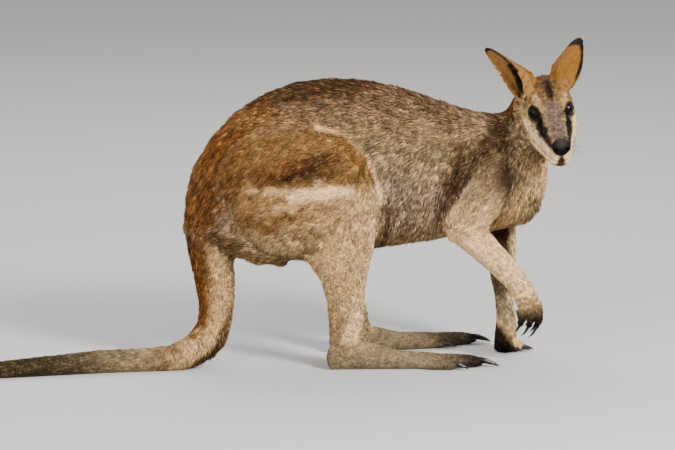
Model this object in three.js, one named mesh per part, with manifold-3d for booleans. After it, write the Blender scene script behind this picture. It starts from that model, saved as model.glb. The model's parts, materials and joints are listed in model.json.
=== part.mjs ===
// A life-size agile wallaby, an adult male, walking slowly with its head turned to its right.
//
// Units are millimetres. +X runs forward from tail to chest, +Y to the animal's left and +Z up.
// The model is drawn about a point on the floor under the hips, and at the end it is moved so that
// its origin is the middle of its bounding box, at floor level.
//
// Flesh is lofted through sections. A section is a closed oval that spans two opposite edge points
// of the side view, such as back and belly or shin and calf, and has a width across the animal.
// Where a section gives no more, its oval is upright, plain and widest in the middle: `turn` swings
// it about the vertical, in degrees, `box` squares it, and `sag` makes its far half the wider one.
import * as THREE from "three";
import { mergeVertices } from "three/addons/utils/BufferGeometryUtils.js";
import Module from "manifold-3d";

const wasm = await Module();
wasm.setup();

// ---------------------------------------------------------------------------------------------
// Driving dimensions

const GAP = 0.35; // clearance between neighbouring pieces
const FLOOR_PRESS = 1.5; // how far soft soles are drawn below the floor before they are cut flat
const RIGHT = -1; // sign of Y on the animal's right side
const LEFT = 1;

// Neck, trunk and tail. `edge` is the back line and `far` the belly line.
const SPINE = [
  // neck, turning to the animal's right as it meets the skull
  { edge: [284, 422], far: [306, 340], y: -47, wide: 40, turn: -78 },
  { edge: [266, 395], far: [316, 297], y: -12, wide: 47, turn: -30 },
  { edge: [248, 372], far: [318, 256], y: 0, wide: 53, turn: -4 },
  // chest and belly
  { edge: [188, 381], far: [293, 203], y: 0, wide: 65 },
  { edge: [124, 405], far: [186, 185], y: 0, wide: 80, sag: 0.05 },
  { edge: [38, 427], far: [62, 169], y: 0, wide: 93, sag: 0.1 },
  // hips and rump
  { edge: [-62, 425], far: [-46, 158], y: 0, wide: 97, sag: 0.06 },
  { edge: [-152, 382], far: [-110, 146], y: 0, wide: 88 },
  { edge: [-215, 303], far: [-142, 156], y: 0, wide: 63 },
  // tail, down behind the legs and along the floor
  { edge: [-232, 214], far: [-154, 158], y: 0, wide: 39 },
  { edge: [-217, 126], far: [-156, 108], y: -8, wide: 29 },
  { edge: [-214, 72], far: [-170, 36], y: -22, wide: 24 },
  { edge: [-258, 37], far: [-228, 0], y: -35, wide: 20 },
  { edge: [-360, 34], far: [-356, -FLOOR_PRESS], y: -41, wide: 18 },
  { edge: [-600, 20], far: [-600, -FLOOR_PRESS], y: -66, wide: 12 },
  { edge: [-808, 5], far: [-808, -FLOOR_PRESS], y: -84, wide: 2.5 },
];
const SPINE_AROUND = 16;
const NECK_CUT = { point: [270, 0, 325], normal: [0.86, 0, 0.5] };
const TAIL_ROOT_CUT = { point: [-192, 0, 189], normal: [-0.62, 0, -0.78] };
const TAIL_BEND_CUT = { point: [-262, 0, 18], normal: [-1, 0, 0] };
const TAIL_TIP_CUT = { point: [-520, 0, 18], normal: [-1, 0, 0] };
const SCROTUM = { path: [[-96, 0, 176], [-88, 0, 160], [-84, 0, 150], [-84, 0, 146]], radii: [9, 13, 11, 5] };

// Hind legs. `edge` is the front or upper edge and `far` the rear or lower one. They are drawn on
// the right side and mirrored. The left leg stands ahead of the right, by `lead`. Below the hip each
// leg leans towards the middle, by `lean` at the floor, and its foot turns out by `splay` degrees.
const STANCE = { [RIGHT]: { lead: 0, lean: 2, splay: 0 }, [LEFT]: { lead: 20, lean: 20, splay: 3 } };
const HIP_HEIGHT = 240;
const ANKLE = [0, 68];
const THIGH = [
  { edge: [-186, 298], far: [-178, 260], y: 58, wide: 14 },
  { edge: [-168, 334], far: [-154, 212], y: 62, wide: 32 },
  { edge: [-132, 362], far: [-118, 176], y: 66, wide: 42 },
  { edge: [-88, 378], far: [-78, 164], y: 69, wide: 47 },
  { edge: [-40, 376], far: [-36, 170], y: 71, wide: 48 },
  { edge: [4, 358], far: [4, 184], y: 72, wide: 44 },
  { edge: [38, 328], far: [36, 208], y: 72, wide: 34 },
  { edge: [56, 292], far: [55, 248], y: 72, wide: 18 },
];
const SHANK = [
  { edge: [47, 264], far: [-60, 250], y: 72, wide: 34 },
  { edge: [52, 228], far: [-82, 208], y: 72, wide: 36 },
  { edge: [47, 190], far: [-63, 172], y: 72, wide: 34 },
  { edge: [38, 150], far: [-38, 138], y: 71, wide: 29 },
  { edge: [31, 112], far: [-27, 106], y: 70, wide: 24 },
  { edge: [31, 80], far: [-24, 76], y: 69, wide: 21 },
  { edge: [36, 52], far: [-23, 50], y: 68, wide: 20 },
  { edge: [43, 32], far: [-20, 26], y: 68, wide: 17 },
];
const FOOT = [
  { edge: [-25, 22], far: [-24, 8], y: 68, wide: 9, box: 2.4 },
  { edge: [-19, 38], far: [-18, -FLOOR_PRESS], y: 68, wide: 15, box: 2.4 },
  { edge: [12, 48], far: [10, -FLOOR_PRESS], y: 69, wide: 18, box: 2.4 },
  { edge: [50, 36], far: [46, -FLOOR_PRESS], y: 71, wide: 18, box: 2.4 },
  { edge: [84, 26], far: [82, -FLOOR_PRESS], y: 74, wide: 18, box: 2.4 },
  { edge: [118, 24], far: [118, -FLOOR_PRESS], y: 77, wide: 19, box: 2.4 },
  { edge: [144, 21], far: [144, -FLOOR_PRESS], y: 79, wide: 18, box: 2.4 },
  { edge: [158, 15], far: [158, 3], y: 80, wide: 10 },
];

// Toes: the long fourth toe, the fifth outside it, and the joined grooming toes inside it.
const TOES = [
  { path: [[134, 80, 10.5], [162, 83, 10.5], [187, 86, 9.5], [206, 88, 8.5]], radii: [12, 12, 11, 7.5] },
  { path: [[100, 84, 7], [132, 95, 8], [154, 100, 7.5], [165, 102, 7]], radii: [5, 9, 8.5, 5.5] },
  { path: [[118, 66, 9], [137, 64, 8], [151, 63, 6.5], [158, 62.5, 5.5]], radii: [6, 5, 4.5, 3] },
];
const HIND_CLAWS = {
  fourth: {
    path: [[199, 87, 10], [212, 89, 10], [224, 90.5, 6], [232, 91.5, 1.5]],
    radii: [5.3, 4.8, 3.2, 0.7],
  },
  fifth: {
    path: [[160, 101, 8.5], [170, 103, 8], [178, 104, 4.8], [183, 105, 1.4]],
    radii: [4, 3.6, 2.3, 0.6],
  },
  third: {
    path: [[151, 65.5, 7.5], [160, 65, 7], [166, 65, 4.8], [170, 65, 1.8]],
    radii: [2.2, 2, 1.3, 0.5],
  },
  second: {
    path: [[151, 60.5, 7.5], [159, 59.5, 7], [165, 59, 4.8], [169, 59, 1.8]],
    radii: [2.2, 2, 1.3, 0.5],
  },
};

// Forelegs. The right one is swung forward with its hand hanging, and the left one bears weight.
// `knuckles` are those of the five digits from the thumb outward. Each digit and its claw follow
// one path from the knuckle, scaled by the digit's share of the longest. `backOfHand` is the way
// that the back of the hand faces.
const RIGHT_ARM = {
  upper: [
    { edge: [262, 308], far: [176, 302], y: -44, wide: 22 },
    { edge: [258, 280], far: [160, 268], y: -50, wide: 28 },
    { edge: [247, 250], far: [150, 236], y: -56, wide: 30 },
    { edge: [231, 222], far: [148, 210], y: -61, wide: 28 },
    { edge: [213, 202], far: [154, 194], y: -64, wide: 22 },
  ],
  fore: [
    { edge: [207, 222], far: [154, 194], y: -63, wide: 23 },
    { edge: [221, 203], far: [177, 177], y: -65, wide: 22 },
    { edge: [237, 183], far: [199, 158], y: -66, wide: 20 },
    { edge: [254, 165], far: [221, 139], y: -67, wide: 18 },
    { edge: [270, 146], far: [241, 120], y: -68, wide: 16 },
    { edge: [282, 126], far: [252, 106], y: -68, wide: 14.5 },
  ],
  palm: [
    { edge: [280, 130], far: [253, 112], y: -68, wide: 12 },
    { edge: [289, 115], far: [255, 101], y: -67, wide: 14, turn: 14 },
    { edge: [297, 101], far: [259, 91], y: -67, wide: 14, turn: 24 },
    { edge: [298, 88], far: [262, 82], y: -67, wide: 9, turn: 28 },
  ],
  knuckles: [[286, -48, 88], [294, -58, 92], [292, -69, 92], [278, -76, 89], [264, -81, 86]],
  digit: [[0, 0, 0], [3, -1, -12], [4, -1, -24], [0, 0, -36]],
  claw: [[1, 0, -31], [-1, 0, -39], [-6, 0, -47], [-13, 0, -53]],
  backOfHand: [1, 0, 0],
};
const LEFT_ARM = {
  upper: [
    { edge: [268, 304], far: [186, 300], y: 44, wide: 22 },
    { edge: [274, 277], far: [192, 267], y: 47, wide: 27 },
    { edge: [279, 246], far: [204, 234], y: 48, wide: 28 },
    { edge: [281, 218], far: [214, 206], y: 46, wide: 26 },
    { edge: [278, 200], far: [226, 192], y: 44, wide: 20 },
  ],
  fore: [
    { edge: [281, 218], far: [221, 204], y: 44, wide: 23 },
    { edge: [281, 190], far: [227, 180], y: 40, wide: 21 },
    { edge: [280, 158], far: [233, 150], y: 36, wide: 19 },
    { edge: [278, 124], far: [238, 118], y: 31, wide: 17 },
    { edge: [275, 90], far: [244, 87], y: 27, wide: 14.5 },
    { edge: [275, 58], far: [247, 57], y: 23, wide: 14 },
  ],
  palm: [
    { edge: [275, 65], far: [247, 65], y: 23, wide: 13 },
    { edge: [278, 45], far: [246, 42], y: 22, wide: 15 },
    { edge: [280, 28], far: [244, 22], y: 21, wide: 18 },
    { edge: [276, 14], far: [243, 6], y: 20, wide: 18 },
    { edge: [268, -FLOOR_PRESS], far: [249, -FLOOR_PRESS], y: 20, wide: 14 },
  ],
  knuckles: [[260, 4, 16], [269, 11, 19], [272, 20, 20], [270, 29, 19], [263, 36, 16]],
  digit: [[0, 0, 0], [6, 0, -6], [12, 0, -11], [18, 0, -14]],
  claw: [[15, 0, -13], [22, 0, -14], [28, 0, -16], [33, 0, -18.5]],
  backOfHand: [0, 0, 1],
};
const DIGIT_SHARE = [0.66, 0.88, 1, 0.86, 0.68];
const DIGIT_RADII = [7, 7.4, 6.6, 4.6];
const FORE_CLAW_RADII = [3.2, 2.9, 2, 0.5];

// Head, drawn about the point midway between the eyes with the muzzle along +X, then turned to its
// place on the neck. `edge` is the brow and nose line and `far` the jaw line.
const HEAD_PLACE = { eyes: [304.5, -100, 388.5], turn: -89, bow: 26, tilt: 6 };
const HEAD = [
  { edge: [-70, 6], far: [-66, -22], y: 0, wide: 17 },
  { edge: [-62, 23], far: [-56, -40], y: 0, wide: 29 },
  { edge: [-44, 33], far: [-38, -54], y: 0, wide: 36, sag: 0.03 },
  { edge: [-22, 34], far: [-20, -64], y: 0, wide: 40, sag: 0.08 },
  { edge: [-4, 29], far: [-2, -66], y: 0, wide: 39.5, sag: 0.16 },
  { edge: [12, 22], far: [14, -63], y: 0, wide: 36.5, sag: 0.24 },
  { edge: [28, 15], far: [30, -58], y: 0, wide: 32.5, sag: 0.28 },
  { edge: [44, 10], far: [46, -54], y: 0, wide: 27.5, sag: 0.26, box: 2.1 },
  { edge: [60, 6.5], far: [61, -51], y: 0, wide: 22.5, sag: 0.2, box: 2.2 },
  { edge: [74, 3], far: [74, -49], y: 0, wide: 18, sag: 0.1, box: 2.3 },
  { edge: [82, 0], far: [82, -44], y: 0, wide: 13.5, box: 2.3 },
  { edge: [87, -7], far: [86, -32], y: 0, wide: 8.5 },
];
const EYE = { at: [1, 21.5, 1], radius: 11.5 };
const NOSE = {
  sections: [
    { edge: [76, 4.5], far: [77, -12], y: 0, wide: 10 },
    { edge: [82, 3.5], far: [82, -20], y: 0, wide: 13.5, sag: -0.22, box: 2.2 },
    { edge: [88, -1], far: [87, -21], y: 0, wide: 12, sag: -0.3, box: 2.2 },
    { edge: [90.5, -6], far: [89, -17], y: 0, wide: 7 },
  ],
  nostril: { path: [[81, 7, -9], [87, 7.5, -8.5], [94, 9.5, -7]], radii: [1.8, 2.6, 3.2] },
};
const MOUTH = { corner: [40, -31], front: [100, -31], hinge: [-24, -52], slit: 0.9, reach: 90 };

// Ears: leaf-shaped cups. Both half widths and half angles of curl are read from root to tip, and
// the wall thins towards the tip.
const EAR = {
  shares: [-0.14, 0.02, 0.18, 0.36, 0.54, 0.7, 0.84, 0.94, 1],
  halfWidths: [13, 20.5, 23, 22.5, 20, 16.5, 12.5, 8.5, 4],
  curls: [160, 145, 118, 95, 80, 70, 62, 56, 50],
  wall: 3,
  thinning: 0.3,
  across: 7,
  closed: 2, // curl in radians past which the rolled root no longer shifts the cup
  seat: 0.6, // share of the arc's depth by which its middle is brought onto the ear's axis
};
const EARS = {
  right: { root: [-34, -31, 12], tip: [-88, -83, 61], opens: [0.2, -0.95, 0.25] },
  left: { root: [-37, 26, 20], tip: [-108, 64, 47], opens: [-0.6, 0.59, -0.52] },
};

// ---------------------------------------------------------------------------------------------
// Closed surfaces

// A closed shell through rings of equal length, shut at each end by a fan about the ring's middle.
function shellOf(rings) {
  const around = rings[0].length;
  const points = rings.flat();
  const index = [];
  for (let r = 0; r < rings.length - 1; r++)
    for (let k = 0; k < around; k++) {
      const [a, b] = [r * around + k, r * around + ((k + 1) % around)];
      index.push(a, b, a + around, b, b + around, a + around);
    }
  for (const [ring, flip] of [[0, true], [rings.length - 1, false]]) {
    const hub = points.length;
    points.push(rings[ring].reduce((sum, p) => sum.add(p), new THREE.Vector3()).divideScalar(around));
    for (let k = 0; k < around; k++) {
      const [a, b] = [ring * around + k, ring * around + ((k + 1) % around)];
      index.push(...(flip ? [hub, b, a] : [hub, a, b]));
    }
  }
  const geometry = new THREE.BufferGeometry().setFromPoints(points).setIndex(index);
  return facingOut(geometry);
}

// Turns a shell's faces round where its signed volume says that they point inwards.
function facingOut(geometry) {
  const [p, index] = [geometry.attributes.position, geometry.index.array];
  const [a, b, c] = [new THREE.Vector3(), new THREE.Vector3(), new THREE.Vector3()];
  let volume = 0;
  for (let i = 0; i < index.length; i += 3) {
    a.fromBufferAttribute(p, index[i]);
    b.fromBufferAttribute(p, index[i + 1]);
    c.fromBufferAttribute(p, index[i + 2]);
    volume += a.dot(b.cross(c));
  }
  if (volume < 0)
    for (let i = 0; i < index.length; i += 3) [index[i], index[i + 1]] = [index[i + 1], index[i]];
  return geometry;
}

// Sections with one more between each two, on smooth curves through the given ones.
function filledIn(sections) {
  const readings = [
    ({ edge, y }) => [...edge, y],
    ({ far }) => [...far, 0],
    ({ wide, turn = 0, sag = 0 }) => [wide, turn, sag],
  ];
  const curves = readings.map((read) => {
    const points = sections.map((section) => new THREE.Vector3(...read(section)));
    return new THREE.CatmullRomCurve3(points, false, "catmullrom");
  });
  const last = 2 * (sections.length - 1);
  return Array.from({ length: last + 1 }, (_, i) => {
    const [edge, far, shape] = curves.map((curve) => curve.getPoint(i / last));
    const [wide, turn, sag] = shape.toArray();
    return { edge: [edge.x, edge.y], far: [far.x, far.y], y: edge.z, wide, turn, sag };
  });
}

// A loft through sections, all of them `grow` larger than drawn.
function sectionLoft(sections, { around = 16, grow = 0 } = {}) {
  return shellOf(
    sections.map(({ edge, far, y, wide, turn = 0, box = 2, sag = 0 }) => {
      const yaw = THREE.MathUtils.degToRad(turn);
      const middle = new THREE.Vector3((edge[0] + far[0]) / 2, y, (edge[1] + far[1]) / 2);
      const half = new THREE.Vector3((edge[0] - far[0]) / 2, 0, (edge[1] - far[1]) / 2);
      half.setLength(half.length() + grow).applyAxisAngle(new THREE.Vector3(0, 0, 1), yaw);
      const across = new THREE.Vector3(-Math.sin(yaw), Math.cos(yaw), 0);
      const rounded = (value) => Math.sign(value) * Math.abs(value) ** (2 / box);
      return Array.from({ length: around }, (_, k) => {
        const angle = (2 * Math.PI * k) / around;
        const [u, v] = [rounded(Math.cos(angle)), rounded(Math.sin(angle))];
        return middle
          .clone()
          .addScaledVector(across, (wide + grow) * u * (1 - sag * v))
          .addScaledVector(half, v);
      });
    }),
  );
}

// A round tapered length of flesh or horn along a path of points, with one radius for each point.
function taperLoft(path, radii, { around = 6, grow = 0, up = [0, 0, 1] } = {}) {
  const centres = path.map((p) => new THREE.Vector3(...p));
  const upward = new THREE.Vector3(...up);
  return shellOf(
    centres.map((centre, i) => {
      const [before, after] = [centres[Math.max(i - 1, 0)], centres[Math.min(i + 1, path.length - 1)]];
      const along = after.clone().sub(before).normalize();
      const across = new THREE.Vector3().crossVectors(upward, along).normalize();
      const lift = new THREE.Vector3().crossVectors(along, across);
      return Array.from({ length: around }, (_, k) => {
        const angle = (2 * Math.PI * k) / around;
        return centre
          .clone()
          .addScaledVector(across, (radii[i] + grow) * Math.cos(angle))
          .addScaledVector(lift, (radii[i] + grow) * Math.sin(angle));
      });
    }),
  );
}

// ---------------------------------------------------------------------------------------------
// Solids

function solidOf(geometry) {
  const bare = geometry.clone();
  bare.deleteAttribute("normal");
  bare.deleteAttribute("uv");
  const merged = mergeVertices(bare, 1e-3);
  return new wasm.Manifold(
    new wasm.Mesh({
      numProp: 3,
      vertProperties: merged.attributes.position.array,
      triVerts: new Uint32Array(merged.index.array),
    }),
  );
}

function geometryOf(solid) {
  const { vertProperties, triVerts } = solid.getMesh();
  const geometry = new THREE.BufferGeometry();
  geometry.setAttribute("position", new THREE.BufferAttribute(new Float32Array(vertProperties), 3));
  geometry.setIndex(new THREE.BufferAttribute(new Uint32Array(triVerts), 1));
  geometry.computeVertexNormals();
  return geometry;
}

const joined = (solids) => solids.reduce((sum, solid) => sum.add(solid));

// A solid less its neighbours, without the crumbs that a cut can leave.
function cutBy(solid, neighbours) {
  const left = neighbours.reduce((rest, neighbour) => rest.subtract(neighbour), solid);
  return left.decompose().reduce((a, b) => (a.volume() > b.volume() ? a : b));
}

// The part of a solid ahead of a plane through `point`, half a gap clear of it.
function aheadOf(solid, { point, normal }) {
  const n = new THREE.Vector3(...normal).normalize();
  return solid.trimByPlane(n.toArray(), n.dot(new THREE.Vector3(...point)) + GAP / 2);
}

const behind = (solid, { point, normal }) => aheadOf(solid, { point, normal: normal.map((v) => -v) });
const onFloor = (solid) => solid.trimByPlane([0, 0, 1], 0);

// ---------------------------------------------------------------------------------------------
// Materials, and the group that holds the finished pieces

const coat = (color) => new THREE.MeshStandardMaterial({ color, roughness: 0.9, metalness: 0 });
const MATERIALS = {
  backFur: coat("#7d5f3f"),
  flankFur: coat("#96806a"),
  rumpFur: coat("#7b542c"),
  hipFur: coat("#9c774d"),
  paleFur: coat("#c4aa86"),
  faceFur: coat("#8a7360"),
  tailFur: coat("#8a7b66"),
  earFur: coat("#96703c"),
  darkSkin: new THREE.MeshStandardMaterial({ color: "#2a231f", roughness: 0.55, metalness: 0 }),
  horn: new THREE.MeshStandardMaterial({ color: "#1d1a1b", roughness: 0.4, metalness: 0 }),
  eye: new THREE.MeshStandardMaterial({ color: "#120c08", roughness: 0.08, metalness: 0 }),
};

const wallaby = new THREE.Group();

function place(name, solid, material) {
  const mesh = new THREE.Mesh(geometryOf(solid), MATERIALS[material]);
  mesh.name = name;
  wallaby.add(mesh);
}

// ---------------------------------------------------------------------------------------------
// Hind legs: thigh, shank, foot with its toes, and four claws. Returns the room that the thigh and
// shank take in the trunk.

function hindLeg(side) {
  const { lead, lean, splay } = STANCE[side];
  const label = side === RIGHT ? "right" : "left";
  const stand = (geometry) => {
    const p = geometry.attributes.position;
    for (let i = 0; i < p.count; i++) {
      const y = p.getY(i) - lean * Math.max(0, 1 - p.getZ(i) / HIP_HEIGHT);
      p.setXYZ(i, p.getX(i) + lead, side * y, p.getZ(i));
    }
    return facingOut(geometry);
  };
  const turned = (geometry) =>
    geometry
      .translate(-ANKLE[0], -ANKLE[1], 0)
      .rotateZ(THREE.MathUtils.degToRad(splay))
      .translate(...ANKLE, 0);
  const limb = (sections, around, grow) => solidOf(stand(sectionLoft(sections, { around, grow })));
  const toe = ({ path, radii }, options) => solidOf(stand(turned(taperLoft(path, radii, options))));
  const foot = (grow) =>
    joined([
      solidOf(stand(turned(sectionLoft(FOOT, { around: 10, grow })))),
      ...TOES.map((digit) => toe(digit, { grow })),
    ]);

  const thighRoom = limb(THIGH, 14, GAP);
  const shankRoom = limb(SHANK, 12, GAP);
  const footRoom = foot(GAP);
  place(`thigh_${label}`, limb(THIGH, 14, 0), "hipFur");
  place(`shank_${label}`, cutBy(limb(SHANK, 12, 0), [thighRoom]), "paleFur");
  place(`foot_${label}`, onFloor(cutBy(foot(0), [shankRoom])), "tailFur");
  for (const [digit, claw] of Object.entries(HIND_CLAWS))
    place(`claw_hind_${digit}_${label}`, onFloor(cutBy(toe(claw, { around: 5 }), [footRoom])), "horn");
  return [thighRoom, shankRoom];
}

const legRooms = [RIGHT, LEFT].flatMap(hindLeg);

// ---------------------------------------------------------------------------------------------
// Forelegs: upper arm, forearm, hand and five claws. Returns the room that the arm takes in the
// trunk.

function foreLeg(label, arm) {
  const limb = (sections, around, grow) => solidOf(sectionLoft(sections, { around, grow }));
  const ray = (path, i) => path.map((p) => p.map((v, k) => arm.knuckles[i][k] + v * DIGIT_SHARE[i]));
  const along = (path, radii, i, grow) =>
    solidOf(taperLoft(ray(path, i), radii, { around: 5, grow, up: arm.backOfHand }));
  const hand = (grow) =>
    joined([limb(arm.palm, 8, grow), ...DIGIT_SHARE.map((_, i) => along(arm.digit, DIGIT_RADII, i, grow))]);

  const upperRoom = limb(arm.upper, 12, GAP);
  const foreRoom = limb(arm.fore, 10, GAP);
  const handRoom = hand(GAP);
  place(`upper_arm_${label}`, limb(arm.upper, 12, 0), "paleFur");
  place(`forearm_${label}`, cutBy(limb(arm.fore, 10, 0), [upperRoom]), "paleFur");
  place(`hand_${label}`, onFloor(cutBy(hand(0), [foreRoom])), "tailFur");
  for (const i of DIGIT_SHARE.keys()) {
    const claw = along(arm.claw, FORE_CLAW_RADII, i, 0);
    place(`claw_fore_${i + 1}_${label}`, onFloor(cutBy(claw, [handRoom])), "horn");
  }
  return [upperRoom, foreRoom];
}

const armRooms = [...foreLeg("right", RIGHT_ARM), ...foreLeg("left", LEFT_ARM)];

// ---------------------------------------------------------------------------------------------
// The spine's loft, parted by thin cuts

const spine = solidOf(sectionLoft(filledIn(SPINE), { around: SPINE_AROUND }));
const wholeTail = onFloor(aheadOf(spine, TAIL_ROOT_CUT));
const wholeNeck = aheadOf(spine, NECK_CUT);
const wholeTrunk = behind(behind(spine, NECK_CUT), TAIL_ROOT_CUT);

// ---------------------------------------------------------------------------------------------
// Head: skull, lower jaw, nose pad, eyes and ears

const headTurn = new THREE.Matrix4()
  .makeTranslation(...HEAD_PLACE.eyes)
  .multiply(
    new THREE.Matrix4().makeRotationFromEuler(
      new THREE.Euler(
        THREE.MathUtils.degToRad(HEAD_PLACE.tilt),
        THREE.MathUtils.degToRad(HEAD_PLACE.bow),
        THREE.MathUtils.degToRad(HEAD_PLACE.turn),
        "ZYX",
      ),
    ),
  );
const onHead = (geometry) => solidOf(geometry.applyMatrix4(headTurn));

// One ear. Each ring is an arc of the outer wall and then, going back, one of the inner wall.
function earCup({ root, tip, opens }) {
  const foot = new THREE.Vector3(...root);
  const axis = new THREE.Vector3(...tip).sub(foot);
  const side = new THREE.Vector3().crossVectors(axis, new THREE.Vector3(...opens)).normalize();
  const front = new THREE.Vector3().crossVectors(side, axis).normalize();
  const rings = EAR.shares.map((share, i) => {
    const curl = THREE.MathUtils.degToRad(EAR.curls[i]);
    const radius = EAR.halfWidths[i] / Math.sin(Math.min(curl, Math.PI / 2));
    const chord = -radius * Math.cos(Math.min(curl, EAR.closed)) * EAR.seat;
    const arc = (r, way) =>
      Array.from({ length: EAR.across }, (_, k) => {
        const angle = way * curl * ((2 * k) / (EAR.across - 1) - 1);
        return foot
          .clone()
          .addScaledVector(axis, share)
          .addScaledVector(side, r * Math.sin(angle))
          .addScaledVector(front, -r * Math.cos(angle) - chord);
      });
    return [...arc(radius, 1), ...arc(radius - EAR.wall * (1 - EAR.thinning * share), -1)];
  });
  return shellOf(rings);
}

// All that lies below a line from the lips to the mouth's corner and down to the jaw's angle.
function belowLips(gap) {
  const outline = new THREE.Shape([
    new THREE.Vector2(MOUTH.front[0], MOUTH.front[1] - gap),
    new THREE.Vector2(MOUTH.corner[0], MOUTH.corner[1] - gap),
    new THREE.Vector2(MOUTH.hinge[0] + gap, MOUTH.hinge[1] - gap),
    new THREE.Vector2(MOUTH.hinge[0] + gap, -MOUTH.reach),
    new THREE.Vector2(MOUTH.front[0], -MOUTH.reach),
  ]);
  const block = new THREE.ExtrudeGeometry(outline, { depth: 2 * MOUTH.reach, bevelEnabled: false });
  return onHead(block.rotateX(Math.PI / 2).translate(0, MOUTH.reach, 0));
}

function head() {
  const skull = onHead(sectionLoft(HEAD));
  const skullRoom = onHead(sectionLoft(HEAD, { grow: GAP }));
  const eyeball = (side, grow) => {
    const ball = new THREE.SphereGeometry(EYE.radius + grow, 12, 7);
    return onHead(ball.translate(EYE.at[0], side * EYE.at[1], EYE.at[2]));
  };
  const nosePad = (grow) => onHead(sectionLoft(NOSE.sections, { around: 12, grow }));
  const nostrils = [RIGHT, LEFT].map((side) =>
    onHead(facingOut(taperLoft(NOSE.nostril.path, NOSE.nostril.radii).scale(1, side, 1))),
  );
  const upperRooms = [belowLips(-MOUTH.slit / 2), nosePad(GAP), eyeball(RIGHT, GAP), eyeball(LEFT, GAP)];

  place("head", cutBy(skull, upperRooms), "faceFur");
  place("lower_jaw", cutBy(skull.intersect(belowLips(MOUTH.slit / 2)), [nosePad(GAP)]), "paleFur");
  place("nose", cutBy(nosePad(0), nostrils), "darkSkin");
  place("eye_right", eyeball(RIGHT, 0), "eye");
  place("eye_left", eyeball(LEFT, 0), "eye");
  for (const [label, ear] of Object.entries(EARS))
    place(`ear_${label}`, cutBy(onHead(earCup(ear)), [skullRoom, wholeNeck]), "earFur");
  return skullRoom;
}

const skullRoom = head();

// ---------------------------------------------------------------------------------------------
// Neck, trunk and tail, cut clear of the head and limbs

const scrotum = (grow) =>
  solidOf(taperLoft(SCROTUM.path, SCROTUM.radii, { around: 10, grow, up: [1, 0, 0] }));

place("neck", cutBy(wholeNeck, [skullRoom]), "flankFur");
place("trunk", cutBy(wholeTrunk, [...legRooms, ...armRooms, scrotum(GAP)]), "backFur");
place("scrotum", scrotum(0), "darkSkin");
place("tail_base", behind(wholeTail, TAIL_BEND_CUT), "rumpFur");
place("tail_middle", behind(aheadOf(wholeTail, TAIL_BEND_CUT), TAIL_TIP_CUT), "tailFur");
place("tail_tip", aheadOf(wholeTail, TAIL_TIP_CUT), "tailFur");

// The origin is the middle of the bounding box, at floor level.
const box = new THREE.Box3().setFromObject(wallaby, true);
const middle = box.getCenter(new THREE.Vector3());
wallaby.position.set(-middle.x, -middle.y, -box.min.z);

export default wallaby;
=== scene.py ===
"""An adult male agile wallaby as a life-size still model: skin, coat, eyes, nose, claws, whiskers."""

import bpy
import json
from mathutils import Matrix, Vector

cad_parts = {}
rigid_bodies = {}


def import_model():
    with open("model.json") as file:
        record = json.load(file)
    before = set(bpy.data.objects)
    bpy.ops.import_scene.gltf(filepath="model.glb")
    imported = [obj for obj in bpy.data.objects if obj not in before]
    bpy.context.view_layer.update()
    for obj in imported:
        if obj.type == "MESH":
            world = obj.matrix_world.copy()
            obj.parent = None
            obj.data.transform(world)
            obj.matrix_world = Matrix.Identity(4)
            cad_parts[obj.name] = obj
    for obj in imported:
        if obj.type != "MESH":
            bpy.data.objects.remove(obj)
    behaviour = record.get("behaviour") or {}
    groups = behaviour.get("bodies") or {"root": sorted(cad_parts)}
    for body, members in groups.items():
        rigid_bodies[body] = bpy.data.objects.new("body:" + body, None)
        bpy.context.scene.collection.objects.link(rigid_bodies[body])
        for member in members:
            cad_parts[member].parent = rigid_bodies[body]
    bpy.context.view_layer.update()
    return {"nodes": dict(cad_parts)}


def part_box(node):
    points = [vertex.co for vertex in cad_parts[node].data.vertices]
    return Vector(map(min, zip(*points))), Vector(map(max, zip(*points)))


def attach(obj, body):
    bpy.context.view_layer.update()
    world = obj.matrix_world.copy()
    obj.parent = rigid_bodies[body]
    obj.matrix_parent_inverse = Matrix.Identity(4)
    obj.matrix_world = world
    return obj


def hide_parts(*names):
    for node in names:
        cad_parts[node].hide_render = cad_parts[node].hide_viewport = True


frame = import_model()

import json
import math
from contextlib import contextmanager

import bpy
import numpy as np
from mathutils import Quaternion, Vector
from mathutils.bvhtree import BVHTree
from mathutils.kdtree import KDTree

# --------------------------------------
# Camera. A long lens 6 m away, a little above the animal and a little behind its right flank, which
# looks down on it by about 10 degrees.
MM = 0.001
VIEW_AZIMUTH = math.radians(-8)
VIEW_ELEVATION = math.radians(10.5)
VIEW_DISTANCE = 6.0
VIEW_WIDTH = 1.0125  # what the view takes in at the animal, from side to side
HEEL_TO_HIPS = 25 * MM
VIEW_HEIGHT = 206 * MM

trunk_low, trunk_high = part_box("trunk")
midline = (trunk_low.y + trunk_high.y) / 2
view_target = Vector((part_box("foot_right")[0].x + HEEL_TO_HIPS, midline, VIEW_HEIGHT))
view_back = Vector((
    math.sin(VIEW_AZIMUTH) * math.cos(VIEW_ELEVATION),
    -math.cos(VIEW_AZIMUTH) * math.cos(VIEW_ELEVATION),
    math.sin(VIEW_ELEVATION),
))
bpy.ops.object.camera_add(
    location=view_target + VIEW_DISTANCE * view_back,
    rotation=view_back.to_track_quat("Z", "Y").to_euler(),
)
camera = bpy.context.object
camera.name = "camera"
camera.data.sensor_width = 36
camera.data.lens = camera.data.sensor_width * VIEW_DISTANCE / VIEW_WIDTH
camera.data.clip_end = 40
bpy.context.scene.camera = camera

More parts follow.
